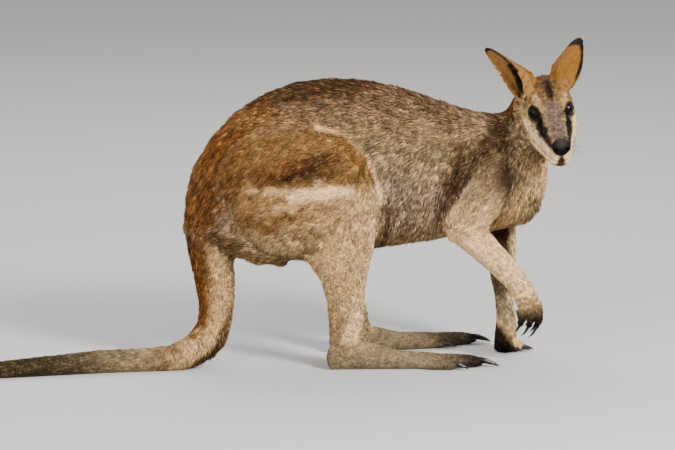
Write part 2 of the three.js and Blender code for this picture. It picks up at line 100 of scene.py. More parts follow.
# --------------------------------------
# Skin. One closed skin takes the place of every node of flesh. The nodes are joined, given one
# even surface, rounded where their facets show, and drawn in by the depth of the coat, so that the
# tips of the tufts reach the true outline.
SKIN_GRAIN = 2.2 * MM  # spacing of the skin's points before it is thinned
BRIDGE = 0.3 * MM  # how far each node is swollen, so that the thin cuts between them close
EAR_SWELL = 0.8 * MM  # and the ears besides, which are no thicker than the skin's own grain
FLOOR_GAP = 0.3 * MM  # from the floor to the lowest points of skin and claws
BROAD_ROUNDING = 5.5  # millimetres, above which a form is broad and can do with fewer points

# For each kind of node: how far its facets are rounded off, the coat's depth, the tufts' length,
# width and the area each has, all in millimetres, and how steeply the tufts stand.
PELT = {
    "trunk": (13, 4.5, 14.5, 0.95, 2.2, 0.24),
    "thigh": (12, 3.6, 12.5, 0.85, 1.9, 0.2),
    "neck": (9, 3.5, 10, 0.8, 1.35, 0.22),
    "tail_base": (9, 3.2, 11.5, 0.85, 1.75, 0.21),
    "tail_middle": (6, 2.4, 9.5, 0.8, 1.75, 0.17),
    "tail_tip": (4, 1.8, 8.5, 0.75, 1.6, 0.15),
    "shank": (7, 2.2, 9, 0.8, 1.85, 0.16),
    "foot": (3.2, 1.0, 5.4, 0.65, 1.3, 0.13),
    "upper_arm": (8, 2.6, 10, 0.8, 1.5, 0.2),
    "forearm": (6, 1.8, 8, 0.7, 1.35, 0.15),
    "hand": (1.7, 0.8, 4.6, 0.55, 0.8, 0.13),
    "head": (4.5, 1.1, 4.2, 0.48, 0.52, 0.14),
    "lower_jaw": (4.5, 1.1, 4.6, 0.5, 0.6, 0.15),
    "ear": (1.3, 0.9, 2.5, 0.5, 0.9, 0.04),
    "scrotum": (4, 0.6, 4, 0.8, 2.0, 0.2),
}
COARSEST = max(row[0] for row in PELT.values())
ROUNDING_SHARE = 0.8
ROUNDING_ROUNDS = round((COARSEST * MM) ** 2 / (ROUNDING_SHARE * SKIN_GRAIN ** 2 / 2))
THINNED_TO = 175000  # triangles of the skin

flesh = sorted(n for n in frame["nodes"] if not n.startswith(("nose", "claw", "eye")))


def only(piece):
    """Selects one object and nothing else."""
    bpy.ops.object.select_all(action="DESELECT")
    piece.select_set(True)
    bpy.context.view_layer.objects.active = piece


@contextmanager
def edit_mode(piece):
    """Edit mode for one piece, and then object mode again."""
    only(piece)
    bpy.ops.object.mode_set(mode="EDIT")
    yield
    bpy.ops.object.mode_set(mode="OBJECT")


def joined_copy(nodes, name):
    """One object joined from copies of CAD nodes, with their loose triangles merged."""
    pieces = []
    for node in nodes:
        mesh = frame["nodes"][node].data.copy()
        mesh.materials.clear()
        pieces.append(bpy.data.objects.new(name, mesh))
        bpy.context.scene.collection.objects.link(pieces[-1])
    only(pieces[0])
    for piece in pieces:
        piece.select_set(True)
    bpy.ops.object.join()
    with edit_mode(pieces[0]):
        bpy.ops.mesh.select_all(action="SELECT")
        bpy.ops.mesh.remove_doubles(threshold=0.01 * MM)
    pieces[0].name = name
    return pieces[0]


def finished(piece, kind, **settings):
    """Adds a modifier to a piece and applies it."""
    modifier = piece.modifiers.new(kind.lower(), kind)
    for key, value in settings.items():
        setattr(modifier, key, value)
    only(piece)
    bpy.ops.object.modifier_apply(modifier=modifier.name)


def read(items, field, width, kind=float):
    """One field of all points, edges or corners of a mesh."""
    values = np.empty(len(items) * width, kind)
    items.foreach_get(field, values)
    return values.reshape(-1, width) if width > 1 else values


def triangles(mesh):
    """The three points of each face of a mesh that has only triangles."""
    return read(mesh.loops, "vertex_index", 1, np.int32).reshape(-1, 3)


def moved(piece, points):
    """Puts the points of a piece in new places."""
    piece.data.vertices.foreach_set("co", points.ravel())
    piece.data.update()


def search_tree(nodes):
    """A tree over the faces of CAD nodes, and for each face its node's index in the list."""
    places, faces, owners = [], [], []
    for index, node in enumerate(nodes):
        mesh = frame["nodes"][node].data
        faces.append(triangles(mesh) + sum(len(p) for p in places))
        places.append(read(mesh.vertices, "co", 3))
        owners += [index] * len(faces[-1])
    tree = BVHTree.FromPolygons(np.concatenate(places).tolist(), np.concatenate(faces).tolist())
    return tree, np.array(owners)


def relaxed(values, edges, share, rounds):
    """Each point's value drawn towards its neighbours' mean, by its share, some rounds over."""
    a, b = edges.T
    count = len(values)
    neighbours = np.bincount(edges.ravel(), minlength=count)[:, None]
    values = values.reshape(count, -1)
    share = np.broadcast_to(np.reshape(share, (-1, 1)), (count, 1))
    for _ in range(rounds):
        sums = [
            np.bincount(a, column[b], count) + np.bincount(b, column[a], count)
            for column in values.T
        ]
        values = values + share * (np.stack(sums, 1) / neighbours - values)
    return values


def rounded(points, edges, share, rounds):
    """Relaxed points, put back by what relaxing once more would take from the whole shape."""
    once = relaxed(points, edges, share, rounds)
    return 2 * once - relaxed(once, edges, share, rounds)


kinds = list(PELT)
node_kind = np.array([next(i for i, k in enumerate(kinds) if n.startswith(k)) for n in flesh])
pelt_table = np.array([PELT[k] for k in kinds])

flesh_tree, flesh_owners = search_tree(flesh)


def nearest_nodes(points):
    """Index in flesh of the node nearest to each point."""
    return flesh_owners[[flesh_tree.find_nearest(point)[2] for point in points.tolist()]]


skin = joined_copy(flesh + ["eye_left", "eye_right"], "skin")
finished(skin, "DISPLACE", mid_level=0, strength=BRIDGE)
thin = skin.vertex_groups.new(name="thin")
is_ear = np.array([name.startswith("ear") for name in flesh])
points = read(skin.data.vertices, "co", 3)
thin.add(np.flatnonzero(is_ear[nearest_nodes(points)]).tolist(), 1.0, "REPLACE")
finished(skin, "DISPLACE", mid_level=0, strength=EAR_SWELL, vertex_group="thin")
finished(skin, "REMESH", mode="VOXEL", voxel_size=SKIN_GRAIN)

# bubbles that the remesh leaves inside the cuts are dropped
top = int(read(skin.data.vertices, "co", 3)[:, 2].argmax())
with edit_mode(skin):
    bpy.ops.mesh.select_all(action="DESELECT")
skin.data.vertices[top].select = True
with edit_mode(skin):
    bpy.ops.mesh.select_linked()
    bpy.ops.mesh.select_all(action="INVERT")
    bpy.ops.mesh.delete(type="VERT")

points = read(skin.data.vertices, "co", 3)
edges = read(skin.data.edges, "vertices", 2, np.int32)
on_floor = points[:, 2] < 1.0 * MM
rows = relaxed(pelt_table[node_kind[nearest_nodes(points)]], edges, 0.5, 12)
points = rounded(points, edges, ROUNDING_SHARE * (rows[:, 0] / COARSEST) ** 2, ROUNDING_ROUNDS)
moved(skin, points)
drawn_in = points - read(skin.data.vertices, "normal", 3) * rows[:, 1:2] * MM
drawn_in[:, 2] = np.where(on_floor, FLOOR_GAP, np.maximum(drawn_in[:, 2], FLOOR_GAP))
moved(skin, drawn_in)
broad = skin.vertex_groups.new(name="broad")
broad.add(np.flatnonzero(rows[:, 0] > BROAD_ROUNDING).tolist(), 1.0, "REPLACE")
finished(
    skin, "DECIMATE", ratio=THINNED_TO / (2 * len(skin.data.polygons)),
    vertex_group="broad", use_collapse_triangulate=True,
)

# --------------------------------------
# Face. The muzzle, lids and lips are part of the skin. Its points are doubled twice over round the
# eyes and along the mouth, the lids are closed in on the eyeballs, and the lips are parted.
SNOUT_DROOP = math.radians(5.1)  # the nose lies this far below the line that the skull follows
EYE_RADIUS = 11.5  # millimetres, as the rest of the face
GAZE = np.array((0.69, 0.67, 0.27))  # forwards, outwards and up
OPEN_ACROSS = 47  # degrees round the eyeball, from the gaze to the lids' corners
OPEN_UP = 43
LIP_HEIGHT = -32
MOUTH_CORNER = 39
LIDS_REACH = 26  # from an eyeball's middle


def middle(node):
    low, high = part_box(node)
    return (low + high) / 2


eye_places = {-1: middle("eye_right"), 1: middle("eye_left")}
head_at = (eye_places[-1] + eye_places[1]) / 2
leftwards = (eye_places[1] - eye_places[-1]).normalized()
forwards = middle("nose") - head_at
forwards = (forwards - leftwards * forwards.dot(leftwards)).normalized()
forwards.rotate(Quaternion(leftwards, -SNOUT_DROOP))
head_axes = np.array((forwards, leftwards, forwards.cross(leftwards)))
eye_out = (eye_places[1] - head_at).length / MM


def in_head(points):
    """Points in millimetres along the head's own axes, from midway between the eyes."""
    return (points - np.array(head_at)) @ head_axes.T / MM


def from_head(points):
    return points @ head_axes * MM + np.array(head_at)


def eased(values):
    values = np.clip(values, 0, 1)
    return values * values * (3 - 2 * values)


def bell(values, width):
    return np.exp(-((values / width) ** 2))


def unit(vectors):
    return vectors / np.maximum(np.linalg.norm(vectors, axis=-1, keepdims=True), 1e-9)


def about_eye(face, side):
    """Direction and distance from an eyeball's middle, and how many degrees past the lids' edge."""
    gaze = unit(GAZE * (1, side, 1))
    inner = unit(np.array((1.0, 0, -0.35)) - gaze * (gaze[0] - 0.35 * gaze[2]))
    above = np.cross(gaze, inner)
    above *= np.sign(above[2])
    ray = face - (0, side * eye_out, 0)
    distance = np.linalg.norm(ray, axis=1)
    ray = ray / np.maximum(distance, 1e-6)[:, None]
    turn = np.arctan2(ray @ above, ray @ inner)
    edge = 1 / np.hypot(np.cos(turn) / OPEN_ACROSS, np.sin(turn) / OPEN_UP)
    edge = edge + 9 * np.clip(np.cos(turn), 0, 1) ** 8 + 4 * np.clip(-np.cos(turn), 0, 1) ** 8
    past = np.degrees(np.arccos(np.clip(ray @ gaze, -1, 1))) - edge
    return ray, distance, past, np.sin(turn)


def lips_near(face):
    return (np.abs(face[:, 2] - LIP_HEIGHT) < 5) & (face[:, 0] > MOUTH_CORNER - 6)


def lids_near(face):
    near = np.zeros(len(face), bool)
    for side in (-1, 1):
        _, distance, past, _ = about_eye(face, side)
        near |= (distance < 24) & (past < 24)
    return near


for _ in range(2):
    face = in_head(read(skin.data.vertices, "co", 3))
    wanted = lips_near(face) | lids_near(face)
    with edit_mode(skin):
        bpy.ops.mesh.select_mode(type="FACE")
        bpy.ops.mesh.select_all(action="DESELECT")
    skin.data.polygons.foreach_set("select", wanted[triangles(skin.data)].any(1))
    with edit_mode(skin):
        bpy.ops.mesh.subdivide(number_cuts=1)
        bpy.ops.mesh.select_all(action="SELECT")
        bpy.ops.mesh.quads_convert_to_tris()

points = read(skin.data.vertices, "co", 3)
normals = read(skin.data.vertices, "normal", 3)
face = in_head(points)
for side in (-1, 1):
    ray, distance, past, above = about_eye(face, side)
    lid = EYE_RADIUS + np.interp(past, (-5, -1.5, 1.5, 6), (-1.7, -1.3, 0.8, 1.3))
    lid = lid + 0.5 * bell(past - 9, 5) * (above > 0) - 0.5 * bell(past - 17, 3.5) * np.clip(above, 0, 1)
    own = eased((past - 7) / 33)
    shaped = (distance < 30) & (past < 40)
    drawn = (lid * (1 - own) + distance * own)[:, None] * ray + (0, side * eye_out, 0)
    face = np.where(shaped[:, None], drawn, face)
# the lips part along one line, the upper a little fuller than the lower
along_mouth = eased((face[:, 0] - MOUTH_CORNER) / 9)
off_line = face[:, 2] - LIP_HEIGHT
swell = 0.7 * bell(off_line - 3, 2) - 1.9 * bell(off_line, 0.9) - 0.6 * bell(off_line + 2, 1.2)
points = from_head(face) + normals * (swell * along_mouth * (face[:, 2] < -20))[:, None] * MM
moved(skin, points)

# --------------------------------------
# Lie of the coat. On the trunk and thighs the hair follows the strokes of a comb. It runs back from
# the nose on the head, down and back on the neck, and outwards along the bone on limbs, ears and
# tail, where it sinks a little.
points = read(skin.data.vertices, "co", 3)
normals = read(skin.data.vertices, "normal", 3)
edges = read(skin.data.edges, "vertices", 2, np.int32)
corners = triangles(skin.data)
vertex_node = nearest_nodes(points)
face = in_head(points)
pelt = relaxed(pelt_table[node_kind[vertex_node]], edges, 0.5, 10)

# strokes of the comb: place as shares of the node's length and height, then way along and up
COMBED = {
    "trunk": (
        (0.95, 0.8, -1, -0.3), (0.75, 0.9, -1, -0.15), (0.5, 1, -1, 0), (0.2, 0.9, -1, -0.5),
        (0.05, 0.5, -0.5, -1), (0.3, 0.8, -1, -0.35), (0.55, 0.7, -1, -0.35),
        (0.65, 0.5, -0.6, -1), (0.55, 0.25, -0.1, -1), (0.65, 0.1, 0, -1), (0.8, 0.6, -0.8, -0.8),
        (0.9, 0.4, -0.5, -1), (0.95, 0.25, -0.2, -1), (0.5, 0, -1, 0), (0.2, 0.1, -1, -0.3),
    ),
    "thigh": (
        (0.5, 0.95, -1, -0.5), (0.85, 0.8, -0.7, -0.6), (0.3, 0.7, -0.8, -0.8),
        (0.6, 0.65, -1, -0.2), (0.6, 0.55, -1, 0), (0.95, 0.55, -0.35, -1), (0.95, 0.3, -0.3, -1),
        (0.3, 0.4, -1, -0.35), (0.6, 0.35, -1, -0.5), (0.3, 0.2, -0.6, -0.9),
        (0.1, 0.3, -0.5, -1), (0.5, 0.05, -0.5, -1), (0.8, 0.15, -0.5, -1),
    ),
}
SINKS = 0.2  # how far the hair of limbs and tail turns downwards
EAR_OPENS = {"ear_right": (0.2, -0.95, 0.25), "ear_left": (-0.6, 0.59, -0.52)}


def level(vectors, up):
    """Vectors without what they have along the surface's normals."""
    return vectors - up * (vectors * up).sum(1)[:, None]


def shares(node, places):
    """Places as shares of a node's box."""
    low, high = (np.array(corner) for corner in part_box(node))
    return (places - low) / (high - low)


node_axes = {}
comb = np.zeros_like(points)
for index, node in enumerate(flesh):
    here = vertex_node == index
    cloud = read(frame["nodes"][node].data.vertices, "co", 3)
    cloud = cloud - cloud.mean(0)
    axes = np.linalg.svd(cloud, full_matrices=False)[2]
    start = head_at if node.startswith("ear") else middle("trunk")
    axes[0] *= np.sign(axes[0] @ (np.array(middle(node)) - np.array(start)))
    axes[2] = np.cross(axes[0], axes[1])
    node_axes[node] = (np.array(middle(node)), axes)
    kind = kinds[node_kind[index]]
    if kind in COMBED:
        rows = np.array(COMBED[kind])
        place = shares(node, points[here])[:, ::2]
        near = 1 / (((place[:, None] - rows[:, :2]) ** 2).sum(2) + 0.004) ** 1.5
        way = near @ unit(rows[:, 2:])
        comb[here] = np.stack((way[:, 0], 0 * way[:, 0], way[:, 1]), 1)
    elif kind in ("head", "lower_jaw"):
        way = np.stack((
            np.full(here.sum(), -1.0),
            0.25 * np.sign(face[here, 1]) * eased((np.abs(face[here, 1]) - 6) / 14),
            np.clip(face[here, 2] / 60, -0.35, 0.3),
        ), 1)
        comb[here] = way @ head_axes
    elif kind == "neck":
        comb[here] = (-0.55, 0.35, -0.75)
    else:
        comb[here] = axes[0] - (0, 0, SINKS)
comb = unit(comb)
comb = relaxed(comb, edges, 0.8, 40)
for side in (-1, 1):
    ray, distance, past, _ = about_eye(face, side)
    round_eye = bell(np.maximum(past, 0), 14) * (distance < LIDS_REACH)
    comb = comb + (0.9 * round_eye)[:, None] * (ray @ head_axes)
comb = comb + (-0.02, 0, 0)  # never quite nothing
comb = unit(level(comb, normals))

# --------------------------------------
# Markings. Each part of the pelt has a ground tone that changes along or up it, and over it lie
# strokes of other tones with ragged edges: the hip stripe and the dark band above it, the shoulder's
# shade, and on the head the dark stripes from eye to nose and the white ones below them. Some
# strokes are painted shade under and between parts, and some are painted light on edges that face
# the light, each noted where it stands.
TONES = {  # red, green and blue out of 255, as each is meant to look
    "umber": (95, 66, 37),
    "drab": (138, 113, 88),
    "ash": (156, 137, 120),
    "sand": (149, 129, 100),
    "rust": (134, 91, 46),
    "fox": (145, 113, 74),
    "tan": (160, 127, 87),
    "bay": (84, 55, 24),
    "peat": (92, 62, 34),
    "soot": (44, 34, 28),
    "slate": (99, 86, 72),
    "mauve": (124, 106, 96),
    "stone": (173, 148, 113),
    "buff": (203, 173, 131),
    "cream": (230, 200, 160),
    "white": (212, 190, 160),
    "liver": (78, 30, 24),
    "amber": (136, 100, 50),
    "pewter": (143, 128, 103),
    "dusk": (92, 80, 60),
}
# which way the ground tone changes (0 along, 2 up), and its tones at shares of the node's box
GROUND = {
    "trunk": (2, {0: "buff", 0.16: "stone", 0.36: "ash", 0.62: "sand", 0.84: "drab", 1: "umber"}),
    "thigh": (2, {0.2: "stone", 0.45: "tan", 0.6: "fox"}),
    "neck": (2, {0.28: "stone", 0.47: "umber", 0.74: "umber", 0.84: "rust"}),
    "tail_base": (0, {0: "peat", 0.45: "rust", 0.58: "rust", 0.72: "buff", 1: "stone"}),
    "tail_middle": (0, {0.4: "dusk", 0.8: "pewter", 1: "stone"}),
    "tail_tip": (0, {0.35: "soot", 0.8: "dusk"}),
    "shank": (2, {0.2: "stone", 0.6: "buff"}),
    "foot": (0, {0.6: "pewter", 0.85: "slate", 1: "soot"}),
    "upper_arm": (2, {0.3: "stone", 0.5: "sand", 1: "umber"}),
    "forearm": (2, {0.7: "cream", 1: "buff"}),
    "hand": (2, {0.18: "soot", 0.34: "dusk", 0.5: "stone", 0.75: "buff", 1: "cream"}),
    "head": (2, {0: "buff", 0.3: "stone", 0.55: "stone", 0.75: "fox"}),
    "lower_jaw": (2, {0: "cream"}),
    "ear": (2, {0: "fox"}),
    "scrotum": (2, {0: "peat"}),
}
# tone, from and to as shares of the node's length and height, half widths in mm there, strength
STROKES = {
    "trunk": (
        ("rust", (0, 0.22), (0.19, 0.94), 34, 42, 0.95),
        ("umber", (0.2, 0.94), (0.62, 1), 20, 15, 0.8),
        ("umber", (0.1, 0.84), (0.2, 0.92), 15, 16, 0.5),
        ("umber", (0.62, 1), (0.9, 0.9), 14, 14, 0.6),
        ("umber", (0.62, 0.93), (0.76, 0.78), 16, 18, 0.4),
        ("bay", (0.92, 0.78), (0.74, 0.48), 21, 15, 0.82),
        ("stone", (0.66, 0.55), (0.63, 0.28), 12, 13, 0.5),
        ("umber", (0.75, 0.64), (0.69, 0.3), 14, 11, 0.75),
        ("stone", (0.915, 0.66), (0.93, 0.54), 8, 11, 0.85),
        ("stone", (0.97, 0.5), (0.92, 0.3), 18, 20, 0.9),
        ("buff", (0.92, 0.42), (0.86, 0.12), 17, 20, 0.8),
        ("buff", (0.95, 0.56), (0.96, 0.44), 8, 11, 0.6),
        # pale chest fur, painted lighter still on its front edge as painted light where it faces the light
        ("cream", (1.02, 0.46), (0.99, 0.12), 13, 15, 0.75),
        ("umber", (0.88, 0.94), (1, 0.82), 16, 18, 0.9),
        ("rust", (0.85, 0.84), (0.94, 0.76), 11, 13, 0.95),
        ("drab", (0.91, 0.68), (0.93, 0.6), 10, 13, 0.8),
        ("fox", (0.18, 0.8), (0.34, 0.76), 18, 13, 0.5),
        # painted shade low on the rear of the belly, in the groin under the thigh
        ("umber", (0.08, 0.2), (0.15, 0.14), 12, 12, 0.85),
        ("umber", (0.08, 0.09), (0.34, 0.04), 13, 14, 0.75),
        # painted shadow in the crease in front of the thigh, and along the belly's underside below it
        ("peat", (0.545, 0.42), (0.545, 0.1), 3, 6, 0.85),
        ("bay", (0.52, 0.02), (0.68, 0.05), 4, 4, 0.7),
    ),
    "thigh": (
        ("drab", (0.2, 0.99), (0.58, 0.99), 12, 10, 0.5),
        ("amber", (0.76, 0.87), (0.91, 0.68), 12, 11, 0.5),
        ("rust", (0.12, 0.9), (0.06, 0.55), 20, 16, 0.5),
        ("umber", (0.7, 0.75), (0.3, 0.65), 15, 14, 0.6),
        ("bay", (0.64, 0.765), (0.43, 0.65), 9, 10, 0.75),
        ("bay", (0.7, 0.655), (0.24, 0.63), 6, 8, 0.6),
        ("rust", (0.5, 0.75), (0.25, 0.66), 12, 12, 0.45),
        ("buff", (0.88, 0.46), (0.8, 0.08), 24, 30, 0.9),
        ("cream", (0.93, 0.36), (0.9, 0.05), 14, 14, 0.5),
        ("buff", (0.72, 0.44), (0.62, 0.3), 12, 10, 0.4),
        ("buff", (0.5, 0.53), (0.18, 0.555), 7, 3.5, 0.6),
        ("buff", (0.66, 0.49), (0.36, 0.43), 7, 4, 0.6),
        ("cream", (0.8, 0.545), (0.47, 0.515), 7.5, 9.5, 1),
        ("rust", (0.16, 0.34), (0.32, 0.27), 11, 10, 0.7),
        ("rust", (0.36, 0.33), (0.52, 0.41), 7, 6, 0.7),
        ("stone", (0.18, 0.22), (0.6, 0.1), 11, 12, 0.7),
        # painted shade along the underside of the thigh, in the groin
        ("dusk", (0.16, 0.06), (0.5, 0.02), 11, 10, 0.75),
        # a pale fringe along the thigh's top and front edge, lightened as a painted highlight where it
        # meets the light
        ("buff", (0.62, 0.96), (0.8, 0.91), 3.4, 4, 0.8),
        ("buff", (0.8, 0.92), (0.93, 0.76), 3, 3.5, 0.7),
        ("cream", (0.93, 0.76), (0.98, 0.57), 3.5, 5, 0.7),
        ("cream", (0.985, 0.57), (0.97, 0.3), 8, 11, 0.95),
    ),
    "shank": (
        ("pewter", (0.05, -0.02), (0.6, 0), 16, 15, 0.6),
        # painted light: the front of the shank, which faces the light, is painted cream
        ("cream", (0.95, 0.97), (0.92, 0.72), 11, 9, 0.95),
        ("cream", (0.92, 0.72), (0.62, 0.14), 10, 13, 0.8),
    ),
    "neck": (
        ("pewter", (0.26, 0.64), (0.24, 0.52), 9, 12, 0.8),
        ("rust", (0.12, 0.8), (0.2, 0.9), 10, 12, 0.6),
        ("sand", (0.26, 0.56), (0.48, 0.42), 14, 15, 0.9),
        ("stone", (0.45, 0.25), (0.6, 0.1), 20, 20, 0.8),
        ("cream", (0.9, 0.35), (0.75, 0.08), 12, 13, 0.7),
    ),
    "tail_base": (
        ("buff", (0.3, 0.08), (0.78, 0.22), 26, 26, 0.9),
        ("umber", (0.4, 0.03), (0.7, 0.15), 8, 9, 0.9),
        ("umber", (0.7, 0.15), (0.86, 0.34), 9, 7, 0.85),
        ("tan", (0.86, 0.34), (0.95, 0.52), 6, 5, 0.7),
    ),
    # the far forearm is painted darker than the near one: painted shade on the limb turned from the light
    "forearm_left": (
        ("peat", (0.5, 0.95), (0.5, 0.6), 20, 16, 1),
        ("dusk", (0.5, 0.6), (0.5, 0.26), 20, 18, 0.95),
        ("pewter", (0.5, 0.1), (0.5, -0.05), 20, 22, 0.9),
    ),
    # painted shade in the far armpit, on the inner side of the far upper arm
    "upper_arm_left": (("peat", (0.6, 0.6), (0.6, 0), 30, 30, 0.9),),
    "hand_left": (
        ("pewter", (0.5, 1), (0.6, 0.85), 20, 18, 0.9),
        ("buff", (0.75, 0.8), (0.75, 0.3), 13, 12, 0.9),
        ("soot", (0, 0.6), (0.25, 0.1), 10, 12, 0.95),
    ),
}
# the same on the head, in millimetres forwards, outwards and up from midway between the eyes
FACE_STROKES = (
    ("umber", (-36, 0, 30), (-8, 0, 27), 20, 9, 0.7),
    ("drab", (2, 0, 22), (30, 0, 12), 15, 11, 0.85),
    ("amber", (-38, 18, 28), (-34, 26, 18), 8, 8, 0.7),
    ("stone", (-40, 38, -5), (-10, 38, -35), 16, 20, 0.8),
    ("mauve", (22, 0, 14), (76, 0, 2), 13, 16, 0.9),
    ("dusk", (44, 0, 8), (70, 0, 3), 6, 9, 0.3),
    ("slate", (70, 0, 3), (80, 0, 3), 8, 9, 0.6),
    ("mauve", (5, 36, -24), (-20, 38, -45), 8, 10, 0.4),
    ("cream", (-12, 37, -20), (28, 31, -19), 5, 8, 0.85),
    ("white", (24, 32, -19), (68, 18, -18), 6, 6.5, 0.85),
    ("white", (68, 17, -22), (84, 6, -26), 6, 5, 0.9),
    ("dusk", (4, 28, -9), (24, 25, -9), 5, 5, 0.8),
    ("soot", (12, 23, 1), (46, 19.5, -5), 9, 9, 1),
    ("soot", (46, 19.5, -5), (74, 15, -9), 9, 6, 0.95),
    ("buff", (-10, 23, 19), (6, 20, 17), 7, 6.5, 0.55),
    ("peat", (-16, 36, 5), (-24, 36, 8), 5, 4, 0.7),
    ("bay", (-27, 0, 32), (2, 0, 25), 5.5, 5, 1),
    ("soot", (-20, 0, 32), (-1, 0, 26), 3.2, 3.8, 0.85),
    ("bay", (2, 0, 25), (18, 0, 18), 2.2, 1.8, 0.5),
    ("peat", (-27, 39, -43), (-26, 39, -43), 2.2, 2.2, 0.9),
    ("peat", (16, 30, -46), (17, 30, -46), 2, 2, 0.8),
    ("slate", (84, 0, -22), (86, 0, -27), 4.5, 3.5, 0.7),
    ("soot", (88, 0, -20), (86, 0, -31), 3.5, 5, 0.85),
    ("liver", (86, 0, -33), (83, 0, -37), 7.5, 6.5, 0.95),
    ("cream", (-38, 38, 6), (-44, 44, 10), 7, 7, 0.9),
)

# The view softens contrast, and colour a little less, so that a tone is painted deeper and purer
# than it is meant to look.
EXPOSED = 0.8


def linear(tone):
    """A tone as it is painted, in linear light."""
    shown = (np.array(TONES[tone]) / 255) ** 2.2
    grey = shown @ (0.3, 0.6, 0.1)
    return (grey / EXPOSED) ** 1.65 * (shown / grey) ** 1.3


def speckle(places, size, seed):
    """Smooth random values between about -1 and 1, in patches of about the given size."""
    chance = np.random.default_rng(seed)
    waves = chance.normal(0, 1.9 / size, (14, 3))
    return np.sin(places @ waves.T + chance.uniform(0, 6.3, 14)).mean(1) * 3.2


def mixed(colours, tone, share, strength=1.0):
    """Colours with another tone laid over them, by its share at each point."""
    share = share[:, None]
    return colours * (1 - share) + linear(tone) * strength * share


def stroked(colours, places, start, end, wide, strength, tone, ragged, mask=1.0):
    """Colours with one stroke of another tone laid over them."""
    start, end = np.array(start, float), np.array(end, float)
    run = end - start
    along = np.clip((places - start) @ run / max(run @ run, 1e-9), 0, 1)
    away = np.linalg.norm(places - start - along[:, None] * run, axis=1)
    reach = wide[0] * (1 - along) + wide[1] * along
    inside = eased(1.6 - away / reach * 1.15 + 0.32 * ragged)
    return mixed(colours, tone, inside * strength * mask)


colours = np.zeros((len(points), 3))
for index, node in enumerate(flesh):
    here = vertex_node == index
    axis, stops = GROUND[kinds[node_kind[index]]]
    share = shares(node, points[here])[:, axis]
    stop_tones = np.array([linear(tone) for tone in stops.values()])
    colours[here] = np.stack([np.interp(share, list(stops), c) for c in stop_tones.T], 1)
colours = relaxed(colours, edges, 0.7, 30)
ragged = speckle(points / MM, 7, 1) * 0.6 + speckle(points / MM, 2.5, 2) * 0.5
side_view = points[:, ::2] / MM
for index, node in enumerate(flesh):
    weight = relaxed((vertex_node == index).astype(float), edges, 0.6, 5)[:, 0]
    low, high = (np.array(corner)[::2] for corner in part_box(node))
    corner, size = low / MM, (high - low) / MM
    for label in filter(node.startswith, STROKES):
        for tone, start, end, *wide, strength in STROKES[label]:
            start, end = corner + start * size, corner + end * size
            colours = stroked(colours, side_view, start, end, wide, strength, tone, ragged, weight)
mirrored = np.column_stack((face[:, 0], np.abs(face[:, 1]), face[:, 2]))
near_head = eased((face[:, 0] + 75) / 20) * eased((62 - np.linalg.norm(face * (0.55, 1, 0.8), axis=1)) / 8)
for tone, start, end, *wide, strength in FACE_STROKES:
    colours = stroked(colours, mirrored, start, end, wide, strength, tone, 0.7 * ragged, near_head)

# ears: black at the tip and along the front margin, where the back's colour rolls over to the cup,
# and on the right ear deep inside the cup, where it is partly black fur and partly painted shade;
# the black runs between places given as shares of the ear's box, each with a half width
BLACK = {
    "ear_right": (
        (0.02, 0.92, 0.97, 2.6), (0.18, 0.65, 0.96, 2.6), (0.27, 0.53, 0.89, 2.6), (0.38, 0.4, 0.82, 2.8),
        (0.51, 0.28, 0.71, 3), (0.6, 0.16, 0.6, 2.2), (0.52, 0.82, 0.65, 3), (0.635, 0.845, 0.53, 4.6),
        (0.725, 0.84, 0.37, 5.8), (0.755, 0.785, 0.24, 5.4), (0.765, 0.69, 0.16, 3.8),
    ),
    "ear_left": (
        (0.6, 0.76, 0.88, 5), (0.76, 0.76, 0.97, 9), (0.9, 0.76, 0.92, 8), (0.94, 0.6, 0.78, 5.4),
        (0.89, 0.46, 0.66, 4.6), (0.81, 0.29, 0.52, 4.4), (0.72, 0.17, 0.38, 4.2), (0.63, 0.09, 0.27, 3.4),
    ),
}
for node, opens in EAR_OPENS.items():
    here = vertex_node == flesh.index(node)
    side = -1 if node == "ear_right" else 1
    root, axes = node_axes[node]
    length = axes[0] @ head_axes.T
    margin = unit(np.cross(length, opens)) * -side
    cup = np.cross(margin, length) * -side
    place = face[here] - in_head(root)
    along = place @ length
    along = (along - along.min()) / np.ptp(along)
    across = place @ margin
    bins = np.minimum((along * 16).astype(int), 15)
    widest, narrowest = np.full(16, -99.0), np.full(16, 99.0)
    np.maximum.at(widest, bins, across)
    np.minimum.at(narrowest, bins, across)
    noise = 0.8 * ragged[here]
    from_rear = across - narrowest[bins] + noise
    from_front = widest[bins] - across + noise
    facing = normals[here] @ head_axes.T @ cup
    inside = eased(0.8 + 1.5 * facing)
    rim = np.minimum(from_front, from_rear)
    rear_edge = eased((2.8 - from_rear) / 1.5) * eased((0.9 - along) / 0.1) * eased((along - 0.2) / 0.1)
    layers = (
        ("fox", inside * 0.85),
        ("amber", inside * bell(along - 0.5, 0.2) * bell(from_rear - 10, 6) * 0.5),
        ("tan", inside * eased((0.34 - along) / 0.22) * eased((from_front - 15) / 5)),
        ("buff", 0.8 * rear_edge),
        ("soot", eased((along - 0.93 + 0.06 * bell(rim, 4) + 0.02 * noise) / 0.07)),
    )
    tone = np.tile(linear("amber"), (len(along), 1))
    for name, strength in layers:
        tone = mixed(tone, name, 0.97 * strength)
    low, high = (np.array(corner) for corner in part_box(node))
    stops = [(*(in_head(low + share * (high - low))), wide) for *share, wide in BLACK[node]]
    soft = 0.4 * ragged[here]
    # the black strips, which deep in the right ear's cup are partly painted shade
    for start, end in zip(stops, stops[1:]):
        tone = stroked(tone, face[here], start[:3], end[:3], (start[3], end[3]), 0.97, "soot", soft)
    base = eased(along * 9)[:, None]
    colours[here] = colours[here] * (1 - base) + tone * base

